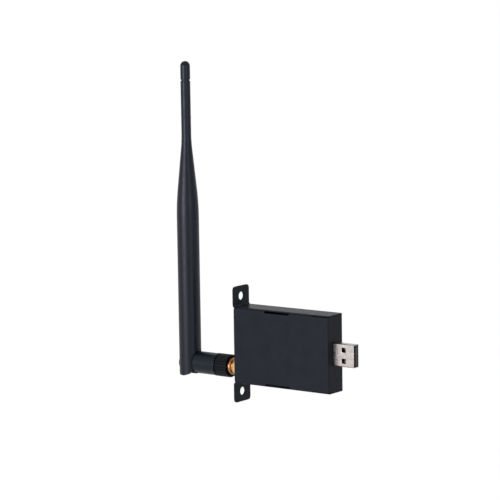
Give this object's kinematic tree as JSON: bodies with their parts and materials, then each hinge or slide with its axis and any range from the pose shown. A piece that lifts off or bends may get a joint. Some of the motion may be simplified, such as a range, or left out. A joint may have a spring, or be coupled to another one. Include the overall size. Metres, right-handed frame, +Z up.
{
  "type": "usb wi-fi dongle",
  "caption": "Wireless network adapter: a black folded-steel case with wall ears, a USB plug on one end and a swivelling, tilting aerial on a threaded connector",
  "frame": {"origin": "midway between the two ear holes, on the face of the ears that lies against a wall", "axes": "+X along the case from the ears to the plug, +Z up along the raised aerial, the case's front face looks along -Y"},
  "size_m": [0.1133, 0.0138, 0.1794],
  "materials": {
    "black_coated_steel": "satin powder coat",
    "screw_steel": "zinc plated",
    "board_green": "satin",
    "plug_steel": "satin plated",
    "plug_plastic": "matte",
    "gold_plate": "gold plated",
    "tinned_steel": "bright",
    "chip_plastic": "matte",
    "ferrite": "matte",
    "ceramic_tan": "satin",
    "white_insulator": "matte",
    "aerial_plastic": "satin, fine grain",
    "coax_jacket": "satin",
    "bare_brass": "bare"
  },
  "bodies": {
    "case": {"case_shell": "black_coated_steel", "rear_cover": "black_coated_steel", "cover_screws": "screw_steel", "circuit_board": "board_green", "plug_shell": "plug_steel", "plug_tongue": "plug_plastic", "plug_contacts": "gold_plate", "shield_can": "tinned_steel", "radio_chip": "chip_plastic", "memory_chip": "chip_plastic", "crystal": "tinned_steel", "power_coil": "ferrite", "regulator": "chip_plastic", "capacitors": "ceramic_tan", "resistors": "chip_plastic", "jack_body": "gold_plate", "jack_insulator": "white_insulator", "jack_contact": "gold_plate", "jack_nut": "gold_plate", "jack_washer": "gold_plate"},
    "coupling": {"coupling_nut": "gold_plate", "knurled_sleeve": "aerial_plastic"},
    "swivel": {"swivel_base": "aerial_plastic", "insert_body": "gold_plate", "insert_insulator": "white_insulator", "insert_pin": "gold_plate", "base_coax": "coax_jacket"},
    "antenna": {"mast": "aerial_plastic", "tip_cap": "aerial_plastic", "mast_coax": "coax_jacket", "whip_wire": "bare_brass"}
  },
  "joints": [
    {"name": "coupling_turn", "type": "hinge", "parent": "case", "child": "coupling", "pos_m": [-0.0085, 0, -0.0128], "axis": [1, 0, 0], "continuous": true},
    {"name": "antenna_swivel", "type": "hinge", "parent": "case", "child": "swivel", "pos_m": [-0.02, 0, -0.0128], "axis": [1, 0, 0], "range_deg": [-180, 180]},
    {"name": "antenna_tilt", "type": "hinge", "parent": "swivel", "child": "antenna", "pos_m": [-0.03485, 0, -0.01365], "axis": [0, 1, 0], "range_deg": [-90, 0]}
  ]
}
